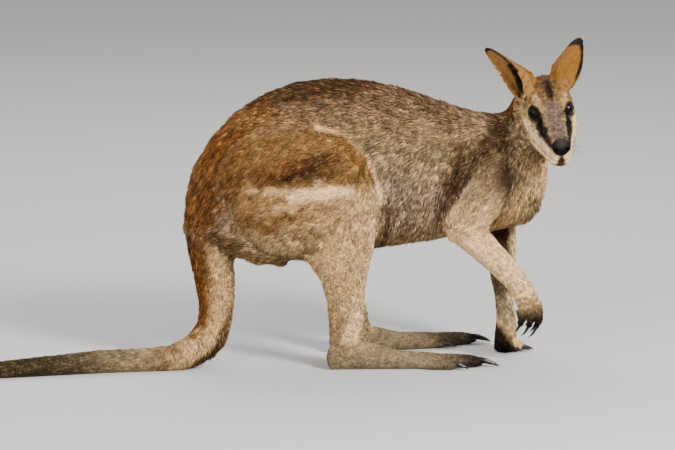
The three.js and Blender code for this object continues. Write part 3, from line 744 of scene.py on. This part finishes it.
# bare skin: the lids' edges, what lies under nose and claws, the lips' line and the soles
bare = np.zeros(len(points))
for side in (-1, 1):
    _, distance, past, _ = about_eye(face, side)
    near_eye = distance < LIDS_REACH
    colours = mixed(colours, "soot", eased(1.5 - past / (14 + 3 * ragged)) * near_eye * 0.95, 0.5)
    lid_skin = eased((6 - past) / 3) * near_eye
    bare = np.maximum(bare, lid_skin)
    colours = mixed(colours, "soot", lid_skin, 0.4)
hard_tree, _ = search_tree([n for n in frame["nodes"] if n.startswith(("nose", "claw"))])
to_hard = np.array([hard_tree.find_nearest(point)[3] for point in points.tolist()]) / MM
by_hard = eased((2.3 - to_hard) / 1.2)
bare = np.maximum(bare, by_hard)
colours = mixed(colours, "soot", 0.85 * by_hard)
lip_line = bell(off_line, 1.3) * eased((face[:, 0] - MOUTH_CORNER) / 6) * (face[:, 2] < -24) * near_head
bare = np.maximum(bare, eased(lip_line * 1.6))
colours = mixed(colours, "liver", 0.8 * lip_line)
soles = eased((-normals[:, 2] - 0.35) / 0.3) * (points[:, 2] < 5 * MM)
bare = np.maximum(bare, soles)

# --------------------------------------
# Coat. Short, dense, grizzled hair that lies in tufts. Each tuft is a closed sliver of four faces,
# which rises out of the skin, is widest before its middle, and flattens out to a tip that leans in
# towards the tips of its neighbours.
CLUMP = 7.0  # millimetres between the middles of clumps
LEAN = 0.35  # how far the tips lean towards a clump's middle
ROOTED = 0.4 * MM  # how deep the tufts are set in the skin
ODD_TUFTS = 0.18  # how many of the tufts are black, and as many pale, in grizzled hair
GRIZZLE = {
    "trunk": 1.0, "neck": 1.1, "thigh": 0.75, "head": 0.8, "lower_jaw": 0.5, "ear": 0.25, "shank": 0.5,
    "foot": 0.5, "hand": 0.35, "forearm": 0.55, "upper_arm": 0.7,
}
LARGEST_COAT = 48000  # tufts in one piece
BRIGHTEST = 0.8  # of any colour in a tuft, past which it is dimmed without a change of hue
grizzle = np.array([GRIZZLE.get(k, 0.6) for k in kinds])[node_kind[vertex_node]]
lengths = pelt[:, 2]
for side in (-1, 1):
    _, distance, past, _ = about_eye(face, side)
    lengths = lengths * np.where(distance < LIDS_REACH, 0.45 + 0.55 * eased(past / LIDS_REACH), 1)
behind_cheek = np.linalg.norm(face * (1, 1, 0.8) - (-20, -40, -30), axis=1)
shorter = np.where(lengths > 6, 0.7 + 0.3 * eased((behind_cheek - 25) / 30), 1)
lengths = lengths * shorter
around_nose = np.linalg.norm(face - (82, 0, -8), axis=1)
lengths = lengths * (0.5 + 0.5 * eased((around_nose - 14) / 30))

# what each point of the skin tells the tufts that grow by it, and the columns that hold it
vertex_data = np.column_stack((
    points, normals, comb, colours,
    lengths, pelt[:, 3], pelt[:, 4] * shorter, pelt[:, 5], 1 - bare, grizzle,
))
PLACE, UP, WAY, TONE = (slice(first, first + 3) for first in (0, 3, 6, 9))
LENGTH, WIDTH, ROOM, LIFT, FURRED, GRIZZLED = range(12, 18)


def room_on(faces):
    """The area of each of some faces of the skin, and how many tufts it has room for."""
    tri = vertex_data[faces]
    sides = np.cross(tri[:, 1, PLACE] - tri[:, 0, PLACE], tri[:, 2, PLACE] - tri[:, 0, PLACE])
    area = np.linalg.norm(sides, axis=1) / 2 / MM ** 2
    mean = tri.mean(1)
    return area, area / mean[:, ROOM] * (mean[:, FURRED] > 0.5)


def painted(mesh, tones):
    """Stores a tone on each point of a mesh."""
    filled = np.column_stack((tones, np.ones(len(tones))))
    mesh.attributes.new("tone", "FLOAT_COLOR", "POINT").data.foreach_set("color", filled.ravel())


def coat_of(name, faces, node, seed):
    """A mesh of tufts that grow from some faces of the skin."""
    chance = np.random.default_rng(seed)
    area, room = room_on(faces)
    many = np.cumsum(room)
    count = int(many[-1])
    picked = np.searchsorted(many, np.arange(count) + chance.uniform(0, 1, count))
    tri = vertex_data[faces[np.minimum(picked, len(faces) - 1)]]
    share = np.sqrt(chance.uniform(0, 1, count))[:, None]
    turn = chance.uniform(0, 1, count)[:, None]
    grown = tri[:, 0] * (1 - share) + tri[:, 1] * share * (1 - turn) + tri[:, 2] * share * turn
    root, up, way, tone = grown[:, PLACE], unit(grown[:, UP]), grown[:, WAY], grown[:, TONE]
    grizzled = grown[:, GRIZZLED]

    long = grown[:, LENGTH] * MM * chance.uniform(0.7, 1.2, count)
    wide = grown[:, WIDTH] * MM * chance.uniform(0.7, 1.2, count) / 2
    lift = grown[:, LIFT] * chance.uniform(0.55, 1.25, count)
    way = unit(level(way, up))
    beside = np.cross(up, way)
    stray = 0.16 * chance.normal(0, 1, count) + 0.22 * speckle(root / MM, 9, seed + 1)
    way = unit(way + beside * stray[:, None])
    beside = np.cross(up, way)

    # the tips of a clump lean together, and its tufts share some of their shade
    hubs = root[chance.permutation(count)[:max(1, int(area.sum() / CLUMP ** 2))]]
    tree = KDTree(len(hubs))
    for i, hub in enumerate(hubs.tolist()):
        tree.insert(hub, i)
    tree.balance()
    clump = np.array([tree.find(p)[1] for p in root.tolist()])
    clump_shade = chance.normal(0, 1, len(hubs))[clump]
    clump_lift = chance.uniform(0.75, 1.3, len(hubs))[clump]
    lean = level((hubs[clump] - root) * LEAN, up)

    lift = lift * clump_lift
    mid = root + way * (0.45 * long)[:, None] + lean * 0.3 + up * (0.6 * lift * long)[:, None]
    tip = root + way * long[:, None] + lean + up * (lift * long)[:, None]
    roll = (chance.normal(0, 0.3, count))[:, None]
    across = (beside + up * roll) * wide[:, None]
    root = root - up * ROOTED
    body = np.stack((root, mid + across, mid - across, tip), 1)
    body[:, :, 2] = np.maximum(body[:, :, 2], MM * np.array((0.4, 0.7, 0.7, 0.5)))

    # agouti hair: most tufts are near the ground tone, some near black and some pale, and all are
    # dark at the root, partly the hair's own dark base and partly painted shade deep in the coat
    locks = speckle(root / MM, 3.2, seed + 2) + 0.6 * clump_shade
    bright = np.exp(grizzled * (0.22 * chance.normal(0, 1, count) + 0.24 * locks))
    lot = chance.uniform(0, 1, count) + 0.12 * locks
    dark = (lot < ODD_TUFTS * grizzled)[:, None]
    pale = (lot > 1 - ODD_TUFTS * grizzled)[:, None]
    tone = np.where(dark, tone * 0.38, tone)
    tone = np.where(pale, tone * 1.45 + linear("cream") * 0.06, tone) * bright[:, None]
    tones = tone[:, None] * np.array((0.3, 1.0, 1.0, 1.2))[:, None]
    tones /= np.maximum(1, tones.max(2, keepdims=True) / BRIGHTEST)

    middle_at, axes = node_axes[node]
    rest = root - middle_at
    up_unwrap = rest @ axes[0]
    up_unwrap = (up_unwrap - up_unwrap.min()) / np.ptp(up_unwrap)
    round_unwrap = np.arctan2(rest @ axes[2], rest @ axes[1]) / (2 * math.pi) + 0.5
    patch = np.stack((round_unwrap, up_unwrap), 1) * 0.994 + 0.001
    # the four faces unfold into one strip, root, edge, edge, tip, root, edge
    strip = np.array([(0.6 * k, 3 * (k % 2)) for k in range(6)]) * 0.001
    index = (np.arange(count)[:, None] * 4 + (0, 2, 1, 1, 2, 3, 0, 3, 2, 0, 1, 3)).astype(np.int32)
    uv = (patch[:, None] + strip[[0, 2, 1, 1, 2, 3, 4, 3, 2, 4, 5, 3]]).reshape(-1, 2)

    mesh = bpy.data.meshes.new(name)
    mesh.vertices.add(count * 4)
    mesh.vertices.foreach_set("co", body.ravel())
    mesh.loops.add(count * 12)
    mesh.loops.foreach_set("vertex_index", index.ravel())
    mesh.polygons.add(count * 4)
    mesh.polygons.foreach_set("loop_start", np.arange(0, count * 12, 3, dtype=np.int32))
    mesh.polygons.foreach_set("use_smooth", np.ones(count * 4, bool))
    mesh.uv_layers.new(name="OFBake").data.foreach_set("uv", uv.ravel())
    painted(mesh, tones.reshape(-1, 3))
    mesh.update(calc_edges=True)
    coat = bpy.data.objects.new(name, mesh)
    bpy.context.scene.collection.objects.link(coat)
    return coat


coats = []
face_node = vertex_node[corners[:, 0]]
for index, node in enumerate(flesh):
    faces = corners[face_node == index]
    if not len(faces):
        continue
    kind = kinds[node_kind[index]]
    room = room_on(faces)[1]
    lots = max(1, math.ceil(room.sum() / LARGEST_COAT))
    along = vertex_data[faces].mean(1)[:, 0].argsort()
    lot = np.empty(len(faces), int)
    lot[along] = np.minimum(np.cumsum(room[along]) / room.sum() * lots, lots - 1e-6).astype(int)
    for part in range(lots):
        name = f"coat_{node}" + (f"_{part + 1}" if lots > 1 else "")
        coat = coat_of(name, faces[lot == part], node, 100 + 10 * index + part)
        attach(coat, "root")
        coats.append(coat)
print("coat", sum(len(c.data.polygons) for c in coats), "of", len(coats))

# Finish of hair: the tone painted on each point, broken up by a fine grain. The skin shows the same
# grain as relief, for the short hair between the tufts, and turns smooth where it is bare.
painted(skin.data, colours)
skin.data.attributes.new("bare", "FLOAT", "POINT").data.foreach_set("value", bare)
only(skin)
bpy.ops.object.shade_smooth()


def put(tree, kind, sockets=(), **settings):
    """Adds a node to a material or group, with its settings and the values on its sockets."""
    made = tree.nodes.new(kind)
    for key, value in settings.items():
        setattr(made, key, value)
    for key, value in dict(sockets).items():
        made.inputs[key].default_value = value
    return made


def spread(tree, source, low, high):
    """A value from 0 to 1 spread between two others."""
    scaled = put(tree, "ShaderNodeMapRange", {"To Min": low, "To Max": high})
    tree.links.new(source, scaled.inputs["Value"])
    return scaled.outputs["Result"]


def tinted(tree, colour, factor):
    """A colour multiplied by a value."""
    mix = put(tree, "ShaderNodeVectorMath", operation="SCALE")
    tree.links.new(colour, mix.inputs[0])
    tree.links.new(factor, mix.inputs["Scale"])
    return mix.outputs["Vector"]


def pattern(tree, kind, **sockets):
    """A texture that lies on the piece's own coordinates."""
    texture = put(tree, kind, sockets)
    place = put(tree, "ShaderNodeTexCoord")
    tree.links.new(place.outputs["Object"], texture.inputs["Vector"])
    return texture


def relief(tree, shader, height, distance, strength, invert=False):
    """Raises the surface by a height, or sinks it."""
    bump = put(tree, "ShaderNodeBump", {"Distance": distance, "Strength": strength}, invert=invert)
    tree.links.new(height, bump.inputs["Height"])
    tree.links.new(bump.outputs["Normal"], shader.inputs["Normal"])


grain = bpy.data.node_groups.new("hair_grain", "ShaderNodeTree")
for name, kind, way in (
    ("Color", "Color", "INPUT"), ("Fineness", "Float", "INPUT"), ("Depth", "Float", "INPUT"),
    ("Color", "Color", "OUTPUT"), ("Height", "Float", "OUTPUT"),
):
    grain.interface.new_socket(name=name, in_out=way, socket_type="NodeSocket" + kind)
entry, leave = put(grain, "NodeGroupInput"), put(grain, "NodeGroupOutput")
fine = pattern(grain, "ShaderNodeTexNoise", Detail=3, Roughness=0.7)
grain.links.new(entry.outputs["Fineness"], fine.inputs["Scale"])
off_mean = put(grain, "ShaderNodeMath", {1: 0.5}, operation="SUBTRACT")
depth = put(grain, "ShaderNodeMath", {2: 1.0}, operation="MULTIPLY_ADD")
grain.links.new(fine.outputs["Fac"], off_mean.inputs[0])
grain.links.new(off_mean.outputs[0], depth.inputs[0])
grain.links.new(entry.outputs["Depth"], depth.inputs[1])
grain.links.new(tinted(grain, entry.outputs["Color"], depth.outputs[0]), leave.inputs["Color"])
grain.links.new(fine.outputs["Fac"], leave.inputs["Height"])


def finish(name, specular=0.3, roughness=0.6):
    """A material with its tree and shader."""
    material = bpy.data.materials.new(name)
    material.use_nodes = True
    shader = material.node_tree.nodes["Principled BSDF"]
    shader.inputs["Specular IOR Level"].default_value = specular
    shader.inputs["Roughness"].default_value = roughness
    return material, material.node_tree, shader


def hair_grain(tree, shader, fineness, depth):
    """Places the grain between the painted tone and a shader, and gives back the placed group."""
    tone = put(tree, "ShaderNodeAttribute", attribute_name="tone")
    group = put(tree, "ShaderNodeGroup", node_tree=grain)
    group.inputs["Fineness"].default_value = fineness
    group.inputs["Depth"].default_value = depth
    tree.links.new(tone.outputs["Color"], group.inputs["Color"])
    tree.links.new(group.outputs["Color"], shader.inputs["Base Color"])
    return group


hair, tree, shader = finish("hair", specular=0.07)
group = hair_grain(tree, shader, 900, 1.0)
tree.links.new(spread(tree, group.outputs["Height"], 0.55, 0.85), shader.inputs["Roughness"])
for coat in coats:
    coat.data.materials.append(hair)

pelt_finish, tree, shader = finish("short_pelt", specular=0.1)
group = hair_grain(tree, shader, 700, 1.4)
bareness = put(tree, "ShaderNodeAttribute", attribute_name="bare")
tree.links.new(spread(tree, bareness.outputs["Fac"], 0.85, 0.38), shader.inputs["Roughness"])
relief(tree, shader, group.outputs["Height"], 0.0006, 0.7)
skin.data.materials.append(pelt_finish)
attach(skin, "root")
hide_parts(*flesh)

# --------------------------------------
# Eyes. Polished balls, near black, with a round pupil and a faint brown ring round it under a
# bulging front. They sit in the sockets behind the lids.
IRIS = 36  # degrees from the gaze to the iris's edge
PUPIL = 17
BULGE = 0.9  # millimetres that the clear front stands out
RINGS = (  # degrees from the gaze, and the tone there
    (PUPIL, (0.002, 0.0018, 0.0016)), (PUPIL + 3, (0.005, 0.003, 0.002)),
    (IRIS - 6, (0.007, 0.004, 0.002)), (IRIS, (0.003, 0.002, 0.002)), (55, (0.006, 0.004, 0.003)),
)

eye_finish, tree, shader = finish("wet_eye", specular=0.06, roughness=0.03)
turn = put(tree, "ShaderNodeAttribute", attribute_name="from_pupil")
rings = put(tree, "ShaderNodeValToRGB")
stops = rings.color_ramp.elements
stops.remove(stops[1])
stops[0].color = (*RINGS[0][1], 1)
for where, shade in RINGS:
    stops.new(where / 90).color = (*shade, 1)
fibres = pattern(tree, "ShaderNodeTexNoise", Scale=900)
tree.links.new(turn.outputs["Fac"], rings.inputs["Fac"])
tree.links.new(
    tinted(tree, rings.outputs["Color"], spread(tree, fibres.outputs["Fac"], 0.5, 1.5)),
    shader.inputs["Base Color"],
)
for node, side in (("eye_right", -1), ("eye_left", 1)):
    bpy.ops.object.select_all(action="DESELECT")
    bpy.ops.mesh.primitive_uv_sphere_add(segments=72, ring_count=60, radius=EYE_RADIUS * MM)
    eye = bpy.context.object
    eye.name = f"eyeball_{node[4:]}"
    ball = read(eye.data.vertices, "co", 3)
    from_pupil = np.degrees(np.arccos(np.clip(ball[:, 2] / (EYE_RADIUS * MM), -1, 1)))
    ball *= 1 + (BULGE / EYE_RADIUS * eased(1.15 - from_pupil / IRIS))[:, None]
    gaze = Vector(unit(GAZE * (1, side, 1)) @ head_axes)
    moved(eye, ball @ np.array(gaze.to_track_quat("Z", "Y").to_matrix()).T + np.array(eye_places[side]))
    eye.data.attributes.new("from_pupil", "FLOAT", "POINT").data.foreach_set("value", from_pupil / 90)
    eye.data.materials.append(eye_finish)
    bpy.ops.object.shade_smooth()
    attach(eye, "root")
    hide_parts(node)

# --------------------------------------
# Nose. A pad of bare, moist, pebbled skin that caps the end of the muzzle, rounded all over, with two
# open nostrils and a groove down its lower half.
NOSE_GRAIN = 0.55 * MM

nose = joined_copy(["nose"], "nose_pad")
finished(nose, "REMESH", mode="VOXEL", voxel_size=NOSE_GRAIN)
with edit_mode(nose):
    bpy.ops.mesh.select_all(action="SELECT")
    bpy.ops.mesh.quads_convert_to_tris()
pad = read(nose.data.vertices, "co", 3)
pad = rounded(pad, read(nose.data.edges, "vertices", 2, np.int32), 0.6, 14)
moved(nose, pad)
pad_normals = read(nose.data.vertices, "normal", 3)
snout = in_head(pad)
# broad and low where it meets the bridge
snout[:, 1] *= 1.07
snout[:, 2] -= 1.2 * eased((83 - snout[:, 0]) / 8) * eased((snout[:, 2] + 8) / 10)
groove = 0.9 * bell(snout[:, 1], 0.8) * eased((-8 - snout[:, 2]) / 4)
moved(nose, from_head(snout) - pad_normals * (groove * MM)[:, None])
dull = eased((snout[:, 2] + 9) / 9) * bell(snout[:, 1], 7)
painted(nose.data, mixed(linear("soot") * 0.25, "slate", dull, 0.35))
only(nose)
bpy.ops.object.shade_smooth()
pebbled, tree, shader = finish("moist_nose", specular=0.08)
hair_grain(tree, shader, 600, 0.8)
pebbles = pattern(tree, "ShaderNodeTexVoronoi", Scale=1100)
tree.links.new(spread(tree, pebbles.outputs["Distance"], 0.4, 0.7), shader.inputs["Roughness"])
relief(tree, shader, pebbles.outputs["Distance"], 0.0004, 0.8, invert=True)
nose.data.materials.append(pebbled)
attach(nose, "root")
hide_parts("nose")

# --------------------------------------
# Claws. Curved horn, black at the root and greyer at the worn tip, with fine streaks along it. Each
# root is sunk in its digit.
CLAW_GRAIN = 0.45 * MM
SUNK = 4.5 * MM

horn, tree, shader = finish("claw_horn", specular=0.25)
own = put(tree, "ShaderNodeAttribute", attribute_name="along_claw")
stretch = put(tree, "ShaderNodeMapping", {"Scale": (60, 1500, 1500)})
streaks = put(tree, "ShaderNodeTexNoise", {"Scale": 1, "Detail": 4})
tree.links.new(own.outputs["Vector"], stretch.inputs["Vector"])
tree.links.new(stretch.outputs["Vector"], streaks.inputs["Vector"])
group = hair_grain(tree, shader, 500, 0.6)
tree.links.new(
    tinted(tree, group.outputs["Color"], spread(tree, streaks.outputs["Fac"], 0.55, 1.45)),
    shader.inputs["Base Color"],
)
tree.links.new(spread(tree, streaks.outputs["Fac"], 0.25, 0.5), shader.inputs["Roughness"])
relief(tree, shader, streaks.outputs["Fac"], 0.0002, 1.0)

for node in sorted(n for n in frame["nodes"] if n.startswith("claw")):
    claw = joined_copy([node], node + "_horn")
    shell = read(claw.data.vertices, "co", 3)
    limb = ("foot" if "hind" in node else "hand") + node[node.rindex("_"):]
    centre = shell.mean(0)
    axes = np.linalg.svd(shell - centre, full_matrices=False)[2]
    axes[0] *= np.sign(axes[0] @ (centre - np.array(middle(limb))))
    along = (shell - centre) @ axes[0]
    start, length = along.min(), np.ptp(along)
    rootward = eased((start + 0.35 * length - along) / (0.35 * length))
    moved(claw, shell - axes[0] * (SUNK * rootward)[:, None])
    finished(claw, "REMESH", mode="VOXEL", voxel_size=CLAW_GRAIN)
    shell = read(claw.data.vertices, "co", 3)
    shell = rounded(shell, read(claw.data.edges, "vertices", 2, np.int32), 0.6, 8)
    shell[:, 2] = np.maximum(shell[:, 2], FLOOR_GAP)
    moved(claw, shell)
    rest = (shell - centre) @ axes.T
    worn = eased((rest[:, 0] - start) / length * 1.2 - 0.2)
    painted(claw.data, mixed(linear("soot") * 0.35, "slate", worn, 0.35))
    claw.data.attributes.new("along_claw", "FLOAT_VECTOR", "POINT").data.foreach_set("vector", rest.ravel())
    claw.data.materials.append(horn)
    only(claw)
    bpy.ops.object.shade_smooth()
    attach(claw, "root")
    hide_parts(node)

# --------------------------------------
# Whiskers. Stiff dark bristles that taper almost to nothing and are rooted in the skin: rows along
# the upper lip, and a few on the chin, above the eyes and on the cheeks.
BRISTLES = (  # from and to in millimetres on the head, how many, length, and the way they point
    ((58, 19, -20), (78, 13, -22), 6, 26, (-0.5, 0.8, -0.35)),
    ((56, 20, -26), (76, 14, -28), 6, 22, (-0.55, 0.7, -0.5)),
    ((66, 10, -45), (76, 5, -42), 3, 13, (-0.4, 0.5, -0.8)),
    ((2, 24, 19), (6, 22, 18), 2, 17, (0.1, 0.5, 0.8)),
    ((-26, 39, -43), (-25, 40, -41), 2, 14, (-0.3, 0.8, -0.4)),
)
BRISTLE_RADIUS = 0.22  # millimetres
BRISTLE_RINGS = 7
BRISTLE_DROOP = 0.22  # of a bristle's length

chance = np.random.default_rng(7)
skin_tree = BVHTree.FromPolygons(points.tolist(), corners.tolist())
bristle_points, bristle_faces = [], []
for start, end, many, length, way in BRISTLES:
    for side in (-1, 1):
        for share in np.linspace(0, 1, many):
            at = np.array(start) * (1 - share) + np.array(end) * share + chance.normal(0, 0.6, 3)
            root = skin_tree.find_nearest(from_head(at * (1, side, 1)).tolist())[0]
            out = unit(np.array(way) * (1, side, 1) + chance.normal(0, 0.09, 3)) @ head_axes
            long = length * MM * chance.uniform(0.8, 1.15)
            beside = unit(np.cross(out, (0.3, 0.2, 1)))
            above = np.cross(out, beside)
            first = len(bristle_points)
            for t in np.linspace(0, 1, BRISTLE_RINGS):
                droop = np.array((0, 0, BRISTLE_DROOP * long * t * t))
                centre = np.array(root) + out * long * (t - 0.06) - droop
                radius = BRISTLE_RADIUS * MM * (1 - 0.85 * t)
                for turn in np.arange(3) * 2 * math.pi / 3:
                    edge = math.cos(turn) * beside + math.sin(turn) * above
                    bristle_points.append(centre + radius * edge)
            last = first + 3 * (BRISTLE_RINGS - 1)
            for ring in range(first, last, 3):
                for a, b in ((ring, ring + 1), (ring + 1, ring + 2), (ring + 2, ring)):
                    bristle_faces.append((a, b, b + 3, a + 3))
            bristle_faces += [(first + 2, first + 1, first), (last, last + 1, last + 2)]
whisker_mesh = bpy.data.meshes.new("whiskers")
whisker_mesh.from_pydata([p.tolist() for p in bristle_points], [], bristle_faces)
whiskers = bpy.data.objects.new("whiskers", whisker_mesh)
bpy.context.scene.collection.objects.link(whiskers)
only(whiskers)
with edit_mode(whiskers):
    bpy.ops.mesh.select_all(action="SELECT")
    bpy.ops.mesh.normals_make_consistent(inside=False)
painted(whisker_mesh, np.tile((0.03, 0.02, 0.015), (len(bristle_points), 1)))
bristle, tree, shader = finish("bristle", specular=0.4, roughness=0.4)
hair_grain(tree, shader, 300, 0.8)
whisker_mesh.materials.append(bristle)
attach(whiskers, "root")

# --------------------------------------
# Studio. A plain pale floor, a soft light from the upper right, a broader and weaker one low on the
# left, and one from above and behind.
bpy.ops.object.select_all(action="DESELECT")
bpy.ops.mesh.primitive_plane_add(size=24, location=(0, 0, 0))
floor = bpy.context.object
floor.name = "floor"
floor_finish, tree, shader = finish("floor", specular=0.2, roughness=0.9)
shader.inputs["Base Color"].default_value = (0.34, 0.33, 0.316, 1)
floor.data.materials.append(floor_finish)
for name, place, size, power in (
    ("key", (2.0, -2.4, 2.1), 0.8, 320),
    ("fill", (-2.2, -2.4, 1.0), 2.4, 220),
    ("rim", (0.2, 1.6, 2.6), 2.0, 80),
):
    bpy.ops.object.light_add(type="AREA", location=place)
    light = bpy.context.object
    light.name = name
    light.data.size = size
    light.data.energy = power
    light.rotation_euler = (Vector(place) - Vector((0, 0, 0.25))).to_track_quat("Z", "Y").to_euler()
world = bpy.data.worlds.new("studio")
bpy.context.scene.world = world
world.use_nodes = True
sky = world.node_tree.nodes["Background"]
sky.inputs["Color"].default_value = (0.95, 0.97, 1.0, 1)
sky.inputs["Strength"].default_value = 1.0
